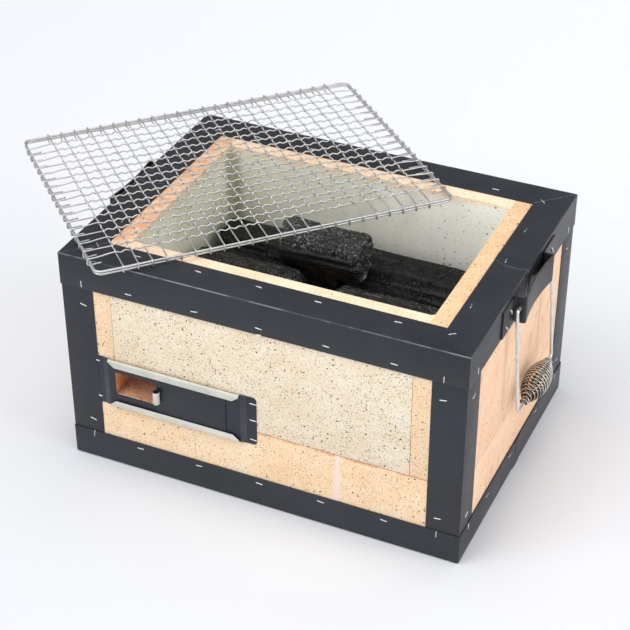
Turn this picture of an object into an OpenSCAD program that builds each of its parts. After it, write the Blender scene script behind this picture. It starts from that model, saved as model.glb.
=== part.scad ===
// Box-shaped charcoal hibachi: cut diatomite slabs bound with stapled steel
// strip, a sliding draught vent, two bail handles with coil grips, a charcoal
// rack and a loose woven cooking net that lies across the top.
// Frame: origin at the middle of the underside, X to the right, front at -Y.

/* [Body] */
// Width over the steel binding
body_w = 310; // [300:1:320]
// Depth over the steel binding
body_d = 230; // [225:1:236]
// Height to the top of the steel binding
body_h = 178; // [174:1:184]
// Width of the firebox between the side slabs
firebox_w = 231; // [227:1:235]
// Depth of the firebox between the front and back slabs
firebox_d = 155; // [152:1:158]
// Height of the base course that the slabs stand on
base_h = 65.5; // [64:0.5:67]
// Left joint between the base blocks, from the middle
base_joint_left = -52; // [-60:1:-45]
// Right joint between the base blocks, from the middle
base_joint_right = 60; // [50:1:70]
// Mortar joint between slabs
mortar = 0.3; // [0.2:0.1:0.6]

/* [Steel binding] */
// Width of the top binding and of the corner posts
strip_w = 26; // [24:0.5:27]
// Height of the bottom binding
foot_strip_h = 24.4; // [22:0.2:26]
// Thickness of the folded binding
strip_t = 1.2; // [1:0.1:1.6]
// Thickness of a corner post
post_t = 0.6; // [0.5:0.1:0.8]
// How far a post runs under the top and bottom bindings
post_tuck = 14; // [10:1:18]
// Length of the lap where the two halves of a binding meet
lap_len = 12; // [8:1:16]
// How far the upper layer stands up over the lap
lap_proud = 0.4; // [0.2:0.1:0.6]
// Width of the cut mitre in the top binding
mitre_gap = 0.3; // [0.2:0.1:0.5]

/* [Vent] */
// Left end of the vent rail
rail_x0 = -128.9; // [-128.9:0.1:-128.5]
// Right end of the vent rail
rail_x1 = -1.2; // [-4:0.2:4]
// Height of the rail's middle line
rail_zc = 75.2; // [74.5:0.1:76]
// Overall height of the rail
rail_h = 41.5; // [40:0.5:43]
// Distance that the rail's middle stands off the slab
rail_raise = 1; // [0.8:0.1:1.4]
// Sheet thickness of the rail and the slider
sheet_t = 0.6; // [0.5:0.1:0.7]
// Slot between the rail and its folded lips
slot_gap = 0.9; // [0.85:0.05:1.1]
// Width of a folded lip
lip_w = 5.8; // [5:0.2:6.4]
// Width of the draught opening
duct_w = 40; // [36:1:42]
// Height of the draught opening
duct_h = 20; // [18:0.5:21]
// Left edge of the slider in the stored, nearly open position
slider_x = -81; // [-83:0.1:-80]
// Length of the slider
slider_len = 56; // [54:0.5:58]
// Height of the rolled finger tab
tab_h = 10.5; // [9:0.5:14]
// Outer radius of the rolled finger tab
tab_r = 2.5; // [2.2:0.1:3]

/* [Handles] */
// Middle of the brackets and bails, from the middle of the body
handle_y = 3; // [0:0.5:4]
// Height of the bail's hinge line
hinge_z = 165; // [163:0.5:167]
// Distance of the hinge line from the binding
hinge_out = 4.6; // [4.4:0.1:4.8]
// Half the distance between the inner faces of a bracket's legs
bracket_half = 30; // [28:0.5:32]
// Distance of the bracket's bar from the binding
bracket_out = 9; // [8.8:0.1:9.6]
// Inward bow of the bracket's bar
bracket_bow = 2.4; // [0:0.1:2.6]
// Half the length of the whole bracket
bracket_end = 56; // [52:0.5:58]
// Height of the bracket strap
bracket_h = 21; // [19:0.5:22]
// Thickness of the bracket strap
bracket_t = 1.2; // [1:0.1:1.4]
// Diameter of the bail wire
bail_d = 2.6; // [2.2:0.1:3]
// Distance from the hinge line to the grip's axis
bail_len = 85.2; // [80:0.2:90]
// Outward lean of the hanging bail, in degrees
bail_lean = 4; // [4:0.1:6]
// Diameter of the grip's spring wire
grip_wire_d = 1.6; // [1.2:0.1:1.8]
// Largest diameter of the grip
grip_d = 20; // [17:0.5:20]
// Number of coils in the grip
grip_turns = 17; // [14:1:18]
// Length of the grip
grip_len = 60; // [50:0.5:60.5]

/* [Cooking net] */
// Length of the net's frame over the wire
net_len = 273.8; // [260:0.2:280]
// Width of the net's frame over the wire
net_wid = 205.2; // [190:0.2:210]
// Turn of the net on the box, in degrees
net_turn = 46.35; // [44:0.05:48]
// Middle of the net, left to right
net_x = -92.1; // [-96:0.1:-88]
// Middle of the net, front to back
net_y = 35.2; // [32:0.1:38]
// Diameter of the frame wire
net_frame_d = 1.8; // [1.6:0.1:2.4]
// Diameter of the woven wires
net_wire_d = 1.2; // [1:0.1:1.4]
// Spacing of the woven wires
net_pitch = 10.6; // [10:0.1:10.8]
// Number of short cross wires
net_cross_n = 23; // [15:2:23]
// Number of long wires
net_long_n = 17; // [11:2:17]
// Centre-line radius of the frame's corners
net_corner_r = 5; // [4:0.5:8]

/* [Charcoal] */
// Height of the rack's upper face above the base course
rack_h = 15; // [12:0.5:16]
// Diameter of the rack's rods
rack_rod_d = 3; // [2.5:0.1:3.5]
// Spacing of the rack's bars
rack_pitch = 15; // [12:0.5:18]
// Corner-to-corner radius of a large log
log_r = 26; // [22:0.5:26.2]
// Corner-to-corner radius of the large log at the left of the middle row
middle_log_r = 27.2; // [24:0.1:27.4]
// Corner-to-corner radius of a small log
small_log_r = 20; // [18:0.5:20]

/* [Staples] */
// Length of a staple's crown
crown_len = 5.2; // [4.5:0.1:6]
// Diameter of the staple wire
staple_d = 0.9; // [0.7:0.1:1]
// Length of a staple's legs
leg_len = 10; // [8:0.5:12]
// Spacing of the staples along the foot of the front and back faces
staple_pitch = 49; // [46:1:52]

/* [Hidden] */

eps = 0.01;
$fn = 48;

half_w = body_w / 2;
half_d = body_d / 2;
// Outer faces of the stone
stone_x = half_w - strip_t;
stone_y = half_d - strip_t;
stone_top = body_h - strip_t;
box_x = firebox_w / 2;
box_y = firebox_d / 2;
slab_z0 = base_h + mortar;
// Outer faces of the posts
post_x = stone_x + post_t;
post_y = stone_y + post_t;
post_z0 = foot_strip_h - post_tuck;
post_z1 = body_h - strip_w + post_tuck;
layer_t = strip_t / 2;
lap_gap = 0.2;

// Vent, from the slab face outwards
web_back = -(stone_y + rail_raise);
web_front = web_back - sheet_t;
lip_back = web_front - slot_gap;
lip_front = lip_back - sheet_t;
fold_r = (slot_gap + 2 * sheet_t) / 2;
lip_x0 = rail_x0 + 8.9;
lip_x1 = rail_x1 - 12.8;
ramp_w = 4.5;
ramp_in = 0.5;
ear_r = 3;
duct_x = -box_x + mortar;
slider_play = (slot_gap - sheet_t) / 2;
slider_y = web_front - slot_gap / 2;
slider_edge_play = 0.2;
slider_h = rail_h - 2 * fold_r - 2 * slider_edge_play;
tab_turn = 300;
tab_inset = 1;

// Handles
hinge_x = half_w + hinge_out;
pin_play = 0.08;
bend_r = 1;
arm_gap = 6;
bail_shift = 1.5;
arm_y = bracket_half + bracket_t + arm_gap + bail_d / 2;
bail_top_r = 1.6;
bail_foot_r = 4;
tip_len = 6;
bracket_z0 = body_h - strip_w + 1;
grip_play = 0.09;
grip_shift = 4.2;
grip_neck_r = bail_d / 2 + grip_play + grip_wire_d / 2;
grip_mid_r = (grip_d - grip_wire_d) / 2;
grip_pitch = (grip_len - grip_wire_d) / (grip_turns - 1);
grip_web = 0.6;

// Cooking net, from the top of the binding upwards
net_rest = 0.6;
net_touch = 0.05;
// Height of the slot between the two frame wires of the net
ring_gap = 0.3;
tail_z = body_h + net_rest + net_wire_d / 2;
low_ring_z = tail_z + net_wire_d / 2 + net_touch + net_frame_d / 2;
top_ring_z = low_ring_z + net_frame_d + ring_gap;
long_z = top_ring_z + net_frame_d / 2 + net_touch + net_wire_d / 2;
cross_z = long_z + net_wire_d + net_touch;
ring_u = (net_len - net_frame_d) / 2;
ring_v = (net_wid - net_frame_d) / 2;
long_tail = 9;
cross_tail = 4.5;

// Charcoal rack
rail_rod_z = base_h + rack_h - 1.5 * rack_rod_d + 0.3;
bar_z = base_h + rack_h - rack_rod_d / 2;
rack_half_x = box_x - 8;
rack_half_y = box_y - 10;
rack_leg_x = rack_half_x - 12;
flat = cos(30);
log_z = base_h + rack_h + 0.3;
row_back_y = box_y - log_r - 1;
row_middle_y = row_back_y - 2 * log_r - 2;
row_front_y = -(box_y - small_log_r - 3);

// A box from two opposite corners
module span(a, b) translate(a) cube(b - a);

// Keeps the part of its children that lies between two depths
module between_y(y0, y1) intersection() {
  children();
  span([-body_w, y0, -body_h], [body_w, y1, 2 * body_h]);
}

module mirror_copy_x() { children(); mirror([1, 0, 0]) children(); }
module mirror_copy_y() { children(); mirror([0, 1, 0]) children(); }

// A round wire between two points on a line along X, Y or Z
module rod_x(x0, x1, d) translate([x0, 0, 0]) rotate([0, 90, 0]) cylinder(d = d, h = x1 - x0);
module rod_y(y0, y1, d) translate([0, y0, 0]) rotate([-90, 0, 0]) cylinder(d = d, h = y1 - y0);

// ---- Diatomite ----

module base_block(x0, x1) difference() {
  span([x0, -stone_y, 0], [x1, stone_y, base_h]);
  difference() {
    span([-body_w, -body_d, -eps], [body_w, body_d, strip_t]);
    span([-half_w + strip_w, -half_d + strip_w, -1], [half_w - strip_w, half_d - strip_w, 2]);
  }
}

module base_block_left() color("#f2cfa2") base_block(-stone_x, base_joint_left - mortar / 2);

module base_block_middle() color("#f2cfa2")
  base_block(base_joint_left + mortar / 2, base_joint_right - mortar / 2);

module base_block_right() color("#f2cfa2") base_block(base_joint_right + mortar / 2, stone_x);

// The draught duct is a notch in the lower left corner of the front slab
module front_slab() color("#f4e2c0") difference() {
  span([-box_x + mortar, -stone_y, slab_z0], [box_x - mortar, -box_y, stone_top]);
  span([duct_x - eps, -body_d, slab_z0 - eps], [-box_x + duct_w, 0, base_h + duct_h]);
}

module back_slab() color("#f4e2c0")
  span([-box_x + mortar, box_y, slab_z0], [box_x - mortar, stone_y, stone_top]);

module side_slab() span([box_x, -stone_y, slab_z0], [stone_x, stone_y, stone_top]);

module left_slab() color("#f3cb9d") mirror([1, 0, 0]) side_slab();

module right_slab() color("#f3cb9d") side_slab();

// ---- Steel binding ----

// One layer of the top binding: an angle section around all four edges
module top_angle(inset, thick) difference() {
  span([-half_w + inset, -half_d + inset, body_h - strip_w],
       [half_w - inset, half_d - inset, body_h - inset]);
  span([-half_w + inset + thick, -half_d + inset + thick, 0],
       [half_w - inset - thick, half_d - inset - thick, body_h - inset - thick]);
  span([-half_w + strip_w, -half_d + strip_w, 0], [half_w - strip_w, half_d - strip_w, 2 * body_h]);
}

// The same for the bottom binding, with its flange under the base course
module bottom_angle(inset, thick) difference() {
  span([-half_w + inset, -half_d + inset, max(inset, 0)],
       [half_w - inset, half_d - inset, foot_strip_h]);
  span([-half_w + inset + thick, -half_d + inset + thick, max(inset, 0) + thick],
       [half_w - inset - thick, half_d - inset - thick, body_h]);
  span([-half_w + strip_w, -half_d + strip_w, -1], [half_w - strip_w, half_d - strip_w, body_h]);
}

// Mitre cuts in the top flange, from each corner to the window
module mitre_cuts() for (sx = [-1, 1], sy = [-1, 1])
  translate([sx * (half_w - strip_w / 2), sy * (half_d - strip_w / 2), body_h])
    rotate([0, 0, sx * sy * 45])
      cube([strip_w * 1.5, mitre_gap, 2 * mitre_gap], center = true);

module corner_posts() mirror_copy_x() mirror_copy_y() post();

module top_frame_front() color("#3c3e42") difference() {
  union() {
    between_y(-body_d, 0) top_angle(0, strip_t);
    between_y(-eps, lap_len) top_angle(layer_t, layer_t);
  }
  corner_posts();
  mitre_cuts();
}

module top_frame_back() color("#3c3e42") difference() {
  union() {
    between_y(lap_len + lap_gap, body_d) top_angle(0, strip_t);
    between_y(lap_gap, lap_len + 2) top_angle(-lap_proud, layer_t + lap_proud);
  }
  corner_posts();
  mitre_cuts();
}

module bottom_frame_front() color("#3c3e42") difference() {
  union() {
    between_y(-body_d, 0) bottom_angle(0, strip_t);
    between_y(-eps, lap_len) bottom_angle(layer_t, layer_t);
  }
  corner_posts();
}

module bottom_frame_back() color("#3c3e42") difference() {
  union() {
    between_y(lap_len + lap_gap, body_d) bottom_angle(0, strip_t);
    between_y(lap_gap, lap_len + 2) bottom_lap();
  }
  corner_posts();
}

// The upper layer of the bottom lap stands proud at the sides only
module bottom_lap() difference() {
  span([-half_w - lap_proud, -half_d, 0], [half_w + lap_proud, half_d, foot_strip_h]);
  span([-half_w + layer_t, -half_d - 1, layer_t], [half_w - layer_t, half_d + 1, body_h]);
  span([-half_w + strip_w, -body_d, -1], [half_w - strip_w, body_d, body_h]);
}

// An angle post on the right-hand back corner
module post() difference() {
  span([half_w - strip_w, half_d - strip_w, post_z0], [post_x, post_y, post_z1]);
  span([0, 0, 0], [stone_x, stone_y, body_h]);
}

module post_back_right() color("#404246") post();

module post_back_left() color("#404246") mirror([1, 0, 0]) post();

module post_front_right() color("#404246") mirror([0, 1, 0]) post();

module post_front_left() color("#404246") mirror([1, 0, 0]) mirror([0, 1, 0]) post();

// ---- Draught vent ----

// Seen from above, the rail is flat at both ends and raised between two ramps
module rail_plan() {
  y0 = -stone_y;
  back = [[rail_x0, y0], [lip_x0 - ramp_in - ramp_w, y0], [lip_x0 - ramp_in, web_back],
          [lip_x1 + ramp_in, web_back], [lip_x1 + ramp_in + ramp_w, y0], [rail_x1, y0]];
  front = [for (i = [len(back) - 1 : -1 : 0]) back[i] - [0, sheet_t]];
  polygon(concat(back, front));
}

module rounded_end_blank() {
  z0 = rail_zc - rail_h / 2;
  z1 = rail_zc + rail_h / 2;
  span([rail_x0, -body_d, z0], [rail_x1 - ear_r, 0, z1]);
  span([rail_x1 - ear_r - eps, -body_d, z0 + ear_r], [rail_x1, 0, z1 - ear_r]);
  for (z = [z0 + ear_r, z1 - ear_r])
    translate([rail_x1 - ear_r, 0, z]) rotate([90, 0, 0]) cylinder(r = ear_r, h = body_d);
}

// Fold and lip along the upper edge; the lower one is its mirror image
module folded_lip() {
  edge = rail_h / 2 - fold_r;
  difference() {
    translate([0, (web_back + lip_front) / 2, edge]) difference() {
      rod_x(lip_x0, lip_x1, 2 * fold_r);
      rod_x(lip_x0 - 1, lip_x1 + 1, slot_gap);
    }
    span([-body_w, -body_d, 0], [body_w, 0, edge]);
  }
  translate([0, lip_back, 0]) rotate([90, 0, 0]) linear_extrude(sheet_t)
    polygon([[lip_x0, edge], [lip_x1, edge], [lip_x1, edge - 0.6],
             [lip_x1 - lip_w + 0.6, edge - lip_w + fold_r],
             [lip_x0 + lip_w - 0.6, edge - lip_w + fold_r], [lip_x0, edge - 0.6]]);
}

module vent_rail() color("#3a3c40") difference() {
  union() {
    intersection() {
      difference() {
        translate([0, 0, rail_zc - rail_h / 2]) linear_extrude(rail_h) rail_plan();
        for (s = [-1, 1]) translate([0, 0, rail_zc + s * (rail_h - fold_r) / 2])
          span([lip_x0, -body_d, -fold_r / 2 - (s < 0 ? 1 : 0)],
               [lip_x1, 0, fold_r / 2 + (s > 0 ? 1 : 0)]);
      }
      rounded_end_blank();
    }
    translate([0, 0, rail_zc]) { folded_lip(); mirror([0, 0, 1]) folded_lip(); }
  }
  span([-box_x + mortar, -body_d, base_h + mortar], [-box_x + duct_w, 0, base_h + duct_h]);
}

module vent_slider() color("#3a3c40") {
  difference() {
    span([slider_x, slider_y - sheet_t / 2, rail_zc - slider_h / 2],
         [slider_x + slider_len, slider_y + sheet_t / 2, rail_zc + slider_h / 2]);
    span([slider_x - 1, -body_d, rail_zc - tab_h / 2 - 0.4],
         [slider_x + tab_inset, 0, rail_zc + tab_h / 2 + 0.4]);
  }
  translate([slider_x + tab_inset, slider_y - tab_r + sheet_t / 2, rail_zc - tab_h / 2])
    rotate([0, 0, 90]) rotate_extrude(angle = tab_turn)
      translate([tab_r - sheet_t, 0]) square([sheet_t, tab_h]);
}

// ---- Handles, drawn on the right-hand side ----

function arc(c, r, a0, a1) = [for (i = [0 : 6]) c + r * [cos(a0 + (a1 - a0) * i / 6),
                                                         sin(a0 + (a1 - a0) * i / 6)]];

// Half of one face of the bent strap, from the foot's end to the middle of the bar
function strap_face(depth) =
  let (foot_c = [bracket_t + bend_r, -bracket_half - bracket_t - bend_r],
       bar_c = [bracket_out - bracket_t - bend_r, -bracket_half + bend_r])
  concat([[bracket_t - depth, -bracket_end]],
         arc(foot_c, bend_r + depth, 180, 90),
         arc(bar_c, bend_r + bracket_t - depth, -90, 0),
         [for (i = [1 : 8]) [bracket_out - depth - bracket_bow * (1 - pow(1 - i / 8, 2)),
                             bar_c[1] * (1 - i / 8)]]);

function reversed(p) = [for (i = [len(p) - 1 : -1 : 0]) p[i]];
function flipped(p) = [for (q = p) [q[0], -q[1]]];

module bracket() difference() {
  translate([half_w, handle_y, bracket_z0]) linear_extrude(bracket_h)
    polygon(concat(strap_face(0), flipped(reversed(strap_face(0))),
                   flipped(strap_face(bracket_t)), reversed(strap_face(bracket_t))));
  translate([hinge_x, handle_y, hinge_z])
    rod_y(-bracket_end, bracket_end, bail_d + 2 * pin_play);
}

module right_bracket() color("#36383b") bracket();

module left_bracket() color("#36383b") mirror([1, 0, 0]) bracket();

// A quarter turn of wire in the YZ plane, from its +Y side round to its -Z side
module wire_turn(r, d) rotate([0, -90, 0]) rotate([0, 0, 90])
  rotate_extrude(angle = 90) translate([r, 0]) circle(d = d);

module half_bail() {
  translate([0, -arm_y + bail_top_r, 0]) rod_y(0, arm_y - bracket_half + tip_len - bail_top_r, bail_d);
  translate([0, -arm_y + bail_top_r, -bail_top_r])
    mirror([0, 0, 1]) mirror([0, 1, 0]) wire_turn(bail_top_r, bail_d);
  translate([0, -arm_y, -bail_len + bail_foot_r])
    cylinder(d = bail_d, h = bail_len - bail_foot_r - bail_top_r);
  translate([0, -arm_y + bail_foot_r, -bail_len + bail_foot_r])
    mirror([0, 1, 0]) wire_turn(bail_foot_r, bail_d);
  translate([0, 0, -bail_len]) rod_y(-arm_y + bail_foot_r, 0, bail_d);
}

module bail() translate([hinge_x, handle_y + bail_shift, hinge_z]) rotate([0, -bail_lean, 0]) {
  half_bail();
  mirror([0, 1, 0]) half_bail();
}

module right_bail() color("#c9cacb") bail();

module left_bail() color("#c9cacb") mirror([1, 0, 0]) bail();

// Radius of the barrel-shaped coil at a fraction of its length
function coil_r(f) = grip_neck_r + (grip_mid_r - grip_neck_r) * pow(sin(180 * f), 0.75);

// The coil as a body of revolution: one bead per turn, joined by a thin web
module coil_beads() {
  n = grip_turns;
  for (i = [0 : n - 1]) rotate_extrude()
    translate([coil_r(i / (n - 1)), (i - (n - 1) / 2) * grip_pitch]) circle(d = grip_wire_d, $fn = 24);
  rotate_extrude() polygon(concat(
    [for (i = [0 : n - 1]) [coil_r(i / (n - 1)) - grip_web / 2, (i - (n - 1) / 2) * grip_pitch]],
    [for (i = [n - 1 : -1 : 0])
      [coil_r(i / (n - 1)) + grip_web / 2, (i - (n - 1) / 2) * grip_pitch]]));
}

module grip() translate([hinge_x, handle_y + bail_shift, hinge_z]) rotate([0, -bail_lean, 0])
  translate([0, grip_shift, -bail_len]) rotate([-90, 0, 0]) coil_beads();

module right_grip() color("#a8a5a0") grip();

module left_grip() color("#a8a5a0") mirror([1, 0, 0]) grip();

// ---- Staples: the crown lies along X on a face whose outward normal is Z ----

module staple(turn = 0) rotate([0, 0, turn]) {
  reach = (crown_len - staple_d) / 2;
  translate([0, 0, staple_d * 0.1]) {
    rod_x(-reach, reach, staple_d, $fn = 16);
    for (s = [-1, 1]) translate([s * reach, 0, 0]) {
      sphere(d = staple_d, $fn = 16);
      translate([0, 0, -leg_len]) cylinder(d = staple_d, h = leg_len, $fn = 16);
    }
  }
}

module on_top(x, y, turn = 0, lift = 0) translate([x, y, body_h + lift]) staple(turn);
module on_front(x, z, sink = 0, turn = 0)
  translate([x, -half_d + sink, z]) rotate([90, 0, 0]) staple(turn);
module on_back(x, z, sink = 0, turn = 0)
  translate([x, half_d - sink, z]) rotate([-90, 0, 0]) staple(turn);
module on_right(y, z, sink = 0, turn = 90)
  translate([half_w - sink, y, z]) rotate([0, 90, 0]) staple(turn);

// Distance of a staple line from the outer corner, and of the row from an edge
corner_in = 17.5;
row_in = 20.6;
// Places of the hand-set staples along the top flange
top_row_x = [-101, -53, -6, 38.5, 97];
// Places of the staples along the upper strips of the front and back faces
face_row_x = [-99.5, -47.5, 2.4, 52.4, 102];

module top_frame_staples() color("#d8d8d6") {
  for (x = top_row_x) mirror_copy_y() on_top(x, half_d - row_in + 2);
  for (x = face_row_x) { on_front(x, body_h - row_in); on_back(x, body_h - row_in); }
  mirror_copy_x() {
    on_top(half_w - row_in, -58, 90);
    on_top(half_w - row_in + 2.6, 5.5, 100, lap_proud);
    on_top(half_w - row_in + 2, 50, 90);
    mirror_copy_y() on_top(half_w - row_in, half_d - row_in, -45);
    on_front(half_w - corner_in, body_h - 22.5, 0, 90);
    on_back(half_w - corner_in, body_h - 22.5, 0, 90);
    mirror_copy_y() on_right(half_d - corner_in, body_h - 21.5, 0, 0);
  }
}

module bottom_frame_staples() color("#d8d8d6") {
  for (i = [-2 : 2]) {
    on_front(i * staple_pitch, foot_strip_h - 4.4);
    on_back(i * staple_pitch, foot_strip_h - 4.4);
  }
  mirror_copy_x() {
    on_front(half_w - corner_in, foot_strip_h - 3, 0, 90);
    on_back(half_w - corner_in, foot_strip_h - 3, 0, 90);
    mirror_copy_y() on_right(half_d - corner_in, foot_strip_h - 3, 0, 0);
    for (y = [-58, -8, 52]) on_right(y, foot_strip_h - 5);
  }
}

module post_staples() color("#d8d8d6") {
  sink = strip_t - post_t;
  mirror_copy_x() for (z = [body_h - 40, foot_strip_h + 11]) {
    on_front(half_w - corner_in, z, sink, 12);
    on_back(half_w - corner_in, z, sink, 12);
    mirror_copy_y() on_right(half_d - corner_in + 4, z, sink, 70);
  }
}

module vent_staples() color("#d8d8d6") {
  sink = strip_t - sheet_t;
  for (z = [rail_zc - 16.6, rail_zc + 0.7, rail_zc + 15.4]) on_front(rail_x1 - 2.6, z, sink);
  for (z = [rail_zc - 15.8, rail_zc + 16.3]) on_front(rail_x0 - 0.4, z, sink);
}

module bracket_staples() color("#d8d8d6") mirror_copy_x() {
  for (p = [[-40, 13, 20], [-47.5, 4, 30], [50, 12, 25], [43, 4, 30]])
    on_right(handle_y + p[0], bracket_z0 + p[1], -bracket_t, p[2]);
}

// ---- Charcoal rack and charcoal ----

module rack_rails() color("#8a8984") mirror_copy_y() {
  translate([0, rack_half_y, rail_rod_z]) rod_x(-rack_half_x, rack_half_x, rack_rod_d);
  mirror_copy_x() translate([rack_leg_x, rack_half_y, base_h])
    cylinder(d = rack_rod_d, h = rail_rod_z - base_h);
}

module rack_bars() color("#8a8984") {
  n = floor((rack_half_x - 6) / rack_pitch);
  for (i = [-n : n])
    translate([i * rack_pitch, 0, bar_z]) rod_y(-rack_half_y - 4, rack_half_y + 4, rack_rod_d);
}

// A six-sided log along X that stands on the rack on one of its flats
module charcoal_log(x0, x1, y, r) color("#222222")
  translate([x0, y, log_z + r * flat]) rotate([90, 0, 90]) cylinder(r = r, h = x1 - x0, $fn = 6);

module charcoal_back_right() charcoal_log(3, box_x - 3, row_back_y, log_r);

module charcoal_back_left() charcoal_log(-box_x + 7, -2, row_back_y, log_r - 0.6);

module charcoal_middle_right() charcoal_log(8, box_x - 4, row_middle_y, log_r - 0.4);

module charcoal_middle_left() charcoal_log(-box_x + 6, -20, row_middle_y, middle_log_r);

module charcoal_front_right() charcoal_log(-4, box_x - 6, row_front_y, small_log_r);

module charcoal_front_left() charcoal_log(-box_x + 5, -10, row_front_y, small_log_r - 0.5);

// A broken block that lies in the valley between the back and middle rows
module charcoal_top() color("#262626")
  translate([-45, (row_back_y + row_middle_y) / 2, log_z + 35.7])
    rotate([90, 0, 90]) linear_extrude(69)
      polygon([[-4.9, 0], [6, 0], [13, 11.5], [18.5, 21.5], [20, 30.5], [14.5, 38.5], [5.5, 41.7],
               [-7.5, 41.7], [-15.5, 38.5], [-19.5, 30.5], [-19.9, 21.5], [-14.5, 13.1]]);

// ---- Cooking net, drawn about its own middle and turned on the box ----

module place_net() translate([net_x, net_y, 0]) rotate([0, 0, net_turn]) children();

module net_ring(z) translate([0, 0, z]) mirror_copy_x() mirror_copy_y() {
  translate([0, ring_v, 0]) rod_x(0, ring_u - net_corner_r, net_frame_d);
  translate([ring_u, 0, 0]) rod_y(0, ring_v - net_corner_r, net_frame_d);
  translate([ring_u - net_corner_r, ring_v - net_corner_r, 0])
    rotate_extrude(angle = 90) translate([net_corner_r, 0]) circle(d = net_frame_d);
}

module net_frame() color("#c4c6c8") place_net() { net_ring(low_ring_z); net_ring(top_ring_z); }

// A quarter turn of net wire in the XZ plane, from its +Z side round to its +X side
module hook_turn(r) rotate([90, 0, 0]) rotate_extrude(angle = 90, $fn = 24)
  translate([r, 0]) circle(d = net_wire_d, $fn = 24);

// A wire along X that hooks over the frame at both ends and is folded back under it
module net_wire(reach, z, tail) {
  r = (net_frame_d + net_wire_d) / 2 + net_touch;
  translate([0, 0, z]) rod_x(-reach, reach, net_wire_d, $fn = 24);
  mirror_copy_x() {
    translate([reach, 0, z - r]) hook_turn(r);
    translate([reach + r, 0, tail_z + r])
      cylinder(d = net_wire_d, h = z - tail_z - 2 * r, $fn = 24);
    translate([reach, 0, tail_z + r]) mirror([0, 0, 1]) hook_turn(r);
    translate([0, 0, tail_z]) rod_x(reach - tail, reach, net_wire_d, $fn = 24);
  }
}

module net_long_wires() color("#cfd1d2") place_net()
  for (i = [0 : net_long_n - 1]) translate([0, (i - (net_long_n - 1) / 2) * net_pitch, 0])
    net_wire(ring_u, long_z, long_tail);

module net_cross_wires() color("#cfd1d2") place_net()
  for (i = [0 : net_cross_n - 1]) translate([(i - (net_cross_n - 1) / 2) * net_pitch, 0, 0])
    rotate([0, 0, 90]) net_wire(ring_v, cross_z, cross_tail);

base_block_left();
base_block_middle();
base_block_right();
front_slab();
back_slab();
left_slab();
right_slab();
top_frame_front();
top_frame_back();
bottom_frame_front();
bottom_frame_back();
post_front_left();
post_front_right();
post_back_left();
post_back_right();
vent_rail();
vent_slider();
right_bracket();
left_bracket();
right_bail();
left_bail();
right_grip();
left_grip();
top_frame_staples();
bottom_frame_staples();
post_staples();
vent_staples();
bracket_staples();
rack_rails();
rack_bars();
charcoal_back_right();
charcoal_back_left();
charcoal_middle_right();
charcoal_middle_left();
charcoal_front_right();
charcoal_front_left();
charcoal_top();
net_frame();
net_long_wires();
net_cross_wires();
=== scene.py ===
import math
import random

import bmesh
import bpy
from mathutils import Matrix, Vector, noise


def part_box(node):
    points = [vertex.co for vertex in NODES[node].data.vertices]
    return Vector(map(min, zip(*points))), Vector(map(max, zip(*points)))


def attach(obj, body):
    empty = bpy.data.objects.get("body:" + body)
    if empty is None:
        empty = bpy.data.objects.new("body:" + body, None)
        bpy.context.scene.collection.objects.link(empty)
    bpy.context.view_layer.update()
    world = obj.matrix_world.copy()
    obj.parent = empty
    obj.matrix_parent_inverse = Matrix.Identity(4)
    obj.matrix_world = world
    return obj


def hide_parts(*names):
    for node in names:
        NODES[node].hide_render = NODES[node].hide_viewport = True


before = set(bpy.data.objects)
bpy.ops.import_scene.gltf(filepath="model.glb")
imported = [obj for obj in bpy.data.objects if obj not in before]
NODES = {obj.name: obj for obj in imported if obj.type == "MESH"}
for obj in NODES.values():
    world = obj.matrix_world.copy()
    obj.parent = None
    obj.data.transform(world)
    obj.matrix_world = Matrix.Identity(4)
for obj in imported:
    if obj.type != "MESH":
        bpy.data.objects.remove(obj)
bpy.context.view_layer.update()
MM = 0.001


# ---------------------------------------------------------------- sizes, in millimetres

def size_mm(node):
    lo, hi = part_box(node)
    return [v / MM for v in lo], [v / MM for v in hi]


frame_lo, frame_hi = size_mm("top_frame_front")
HALF_W = frame_hi[0]
HALF_D = -frame_lo[1]
TOP = frame_hi[2]
slab_lo, slab_hi = size_mm("right_slab")
BOX_X = slab_lo[0]
STONE_X = slab_hi[0]
STONE_Y = slab_hi[1]
BASE_Z = size_mm("base_block_middle")[1][2]
RIM_Z = slab_hi[2]
BOX_Y = size_mm("back_slab")[0][1]
JOINT_L = size_mm("base_block_middle")[0][0]
JOINT_R = size_mm("base_block_middle")[1][0]
STRIP = 26.0
FOOT = size_mm("bottom_frame_front")[1][2]
RAIL_LO, RAIL_HI = size_mm("vent_rail")
SLIDE_LO, SLIDE_HI = size_mm("vent_slider")


# ---------------------------------------------------------------- node materials

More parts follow.
